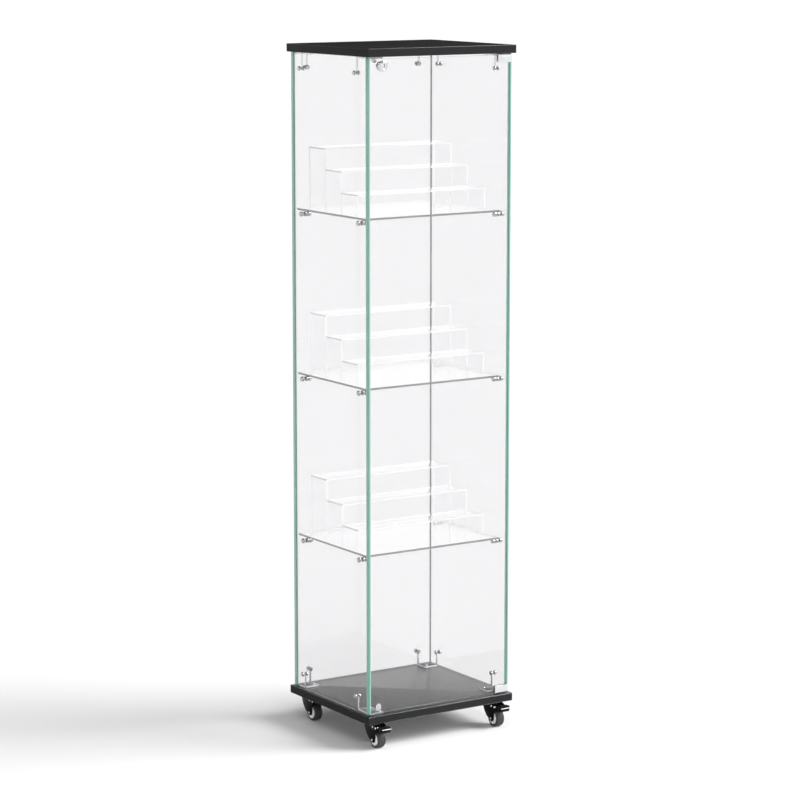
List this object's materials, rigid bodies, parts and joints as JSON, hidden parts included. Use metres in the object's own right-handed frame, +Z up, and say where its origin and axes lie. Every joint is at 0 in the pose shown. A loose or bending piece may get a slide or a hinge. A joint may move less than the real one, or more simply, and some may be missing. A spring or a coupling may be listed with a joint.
{
  "type": "display case",
  "caption": "Tall four-sided glass display cabinet with black top and base panels, a hinged glass door with a cam lock, glass shelves with stepped clear risers, and swivel castors.",
  "frame": {"origin": "on the floor under the centre of the whole footprint, which runs from the tips of the front brake pedals to the back edge of the panels; the panels' own centre is 11.5 mm behind it", "axes": "+X to the right seen from the door side, +Y from the door towards the back wall, +Z up"},
  "size_m": [0.425, 0.393, 1.694],
  "materials": {
    "black_laminate": "black melamine laminate on board, fine satin grain",
    "clear_glass": "clear tempered float glass, polished edges that look green",
    "clear_acrylic": "clear cast acrylic, bent, polished edges",
    "chrome": "bright chrome plate",
    "castor_black": "glossy black coated steel",
    "hub_white": "moulded light grey-white plastic",
    "tyre_black": "dark polyurethane, fine moulding lines"
  },
  "bodies": {
    "cabinet": {"base_panel": "black_laminate", "top_panel": "black_laminate", "left_side_glass": "clear_glass", "right_side_glass": "clear_glass", "back_glass": "clear_glass", "lower_shelf": "clear_glass", "middle_shelf": "clear_glass", "upper_shelf": "clear_glass", "lower_shelf_support_front_left": "chrome", "lower_shelf_support_front_right": "chrome", "lower_shelf_support_back_left": "chrome", "lower_shelf_support_back_right": "chrome", "middle_shelf_support_front_left": "chrome", "middle_shelf_support_front_right": "chrome", "middle_shelf_support_back_left": "chrome", "middle_shelf_support_back_right": "chrome", "upper_shelf_support_front_left": "chrome", "upper_shelf_support_front_right": "chrome", "upper_shelf_support_back_left": "chrome", "upper_shelf_support_back_right": "chrome", "lower_riser_low": "clear_acrylic", "lower_riser_mid": "clear_acrylic", "lower_riser_high": "clear_acrylic", "middle_riser_low": "clear_acrylic", "middle_riser_mid": "clear_acrylic", "middle_riser_high": "clear_acrylic", "upper_riser_low": "clear_acrylic", "upper_riser_mid": "clear_acrylic", "upper_riser_high": "clear_acrylic", "bottom_bracket_back_left": "chrome", "bottom_bracket_back_right": "chrome", "bottom_bracket_front_left": "chrome", "bottom_bracket_front_right": "chrome", "top_bracket_back_left": "chrome", "top_bracket_back_right": "chrome", "top_bracket_front_left": "chrome", "top_bracket_front_right": "chrome", "castor_plate_front_left": "castor_black", "castor_plate_front_right": "castor_black", "castor_plate_back_left": "castor_black", "castor_plate_back_right": "castor_black"},
    "door": {"door_glass": "clear_glass", "door_clamp_bottom": "chrome", "door_clamp_top": "chrome", "lock_body": "chrome"},
    "lock_cam": {"lock_cam": "chrome"},
    "castor_front_left": {"castor_fork_front_left": "castor_black"},
    "castor_front_right": {"castor_fork_front_right": "castor_black"},
    "castor_back_left": {"castor_fork_back_left": "castor_black"},
    "castor_back_right": {"castor_fork_back_right": "castor_black"},
    "wheel_front_left": {"castor_hub_front_left": "hub_white", "castor_tyre_front_left": "tyre_black"},
    "wheel_front_right": {"castor_hub_front_right": "hub_white", "castor_tyre_front_right": "tyre_black"},
    "wheel_back_left": {"castor_hub_back_left": "hub_white", "castor_tyre_back_left": "tyre_black"},
    "wheel_back_right": {"castor_hub_back_right": "hub_white", "castor_tyre_back_right": "tyre_black"},
    "pedal_front_left": {"brake_pedal_front_left": "castor_black"},
    "pedal_front_right": {"brake_pedal_front_right": "castor_black"}
  },
  "joints": [
    {"name": "door_swing", "type": "hinge", "parent": "cabinet", "child": "door", "pos_m": [0.1995, -0.1615, 0.088], "axis": [0, 0, 1], "range_deg": [0, 110]},
    {"name": "lock_turn", "type": "hinge", "parent": "door", "child": "lock_cam", "pos_m": [-0.168, -0.164, 1.652], "axis": [0, -1, 0], "range_deg": [0, 90]},
    {"name": "swivel_front_left", "type": "hinge", "parent": "cabinet", "child": "castor_front_left", "pos_m": [-0.176, -0.1355, 0.055], "axis": [0, 0, 1], "continuous": true},
    {"name": "swivel_front_right", "type": "hinge", "parent": "cabinet", "child": "castor_front_right", "pos_m": [0.176, -0.1355, 0.055], "axis": [0, 0, 1], "continuous": true},
    {"name": "swivel_back_left", "type": "hinge", "parent": "cabinet", "child": "castor_back_left", "pos_m": [-0.176, 0.1585, 0.055], "axis": [0, 0, 1], "continuous": true},
    {"name": "swivel_back_right", "type": "hinge", "parent": "cabinet", "child": "castor_back_right", "pos_m": [0.176, 0.1585, 0.055], "axis": [0, 0, 1], "continuous": true},
    {"name": "roll_front_left", "type": "hinge", "parent": "castor_front_left", "child": "wheel_front_left", "pos_m": [-0.176, -0.1555, 0.0215], "axis": [1, 0, 0], "continuous": true},
    {"name": "roll_front_right", "type": "hinge", "parent": "castor_front_right", "child": "wheel_front_right", "pos_m": [0.176, -0.1555, 0.0215], "axis": [1, 0, 0], "continuous": true},
    {"name": "roll_back_left", "type": "hinge", "parent": "castor_back_left", "child": "wheel_back_left", "pos_m": [-0.176, 0.1385, 0.0215], "axis": [1, 0, 0], "continuous": true},
    {"name": "roll_back_right", "type": "hinge", "parent": "castor_back_right", "child": "wheel_back_right", "pos_m": [0.176, 0.1385, 0.0215], "axis": [1, 0, 0], "continuous": true},
    {"name": "brake_front_left", "type": "hinge", "parent": "castor_front_left", "child": "pedal_front_left", "pos_m": [-0.176, -0.1695, 0.053], "axis": [1, 0, 0], "range_deg": [0, 10]},
    {"name": "brake_front_right", "type": "hinge", "parent": "castor_front_right", "child": "pedal_front_right", "pos_m": [0.176, -0.1695, 0.053], "axis": [1, 0, 0], "range_deg": [0, 10]}
  ]
}
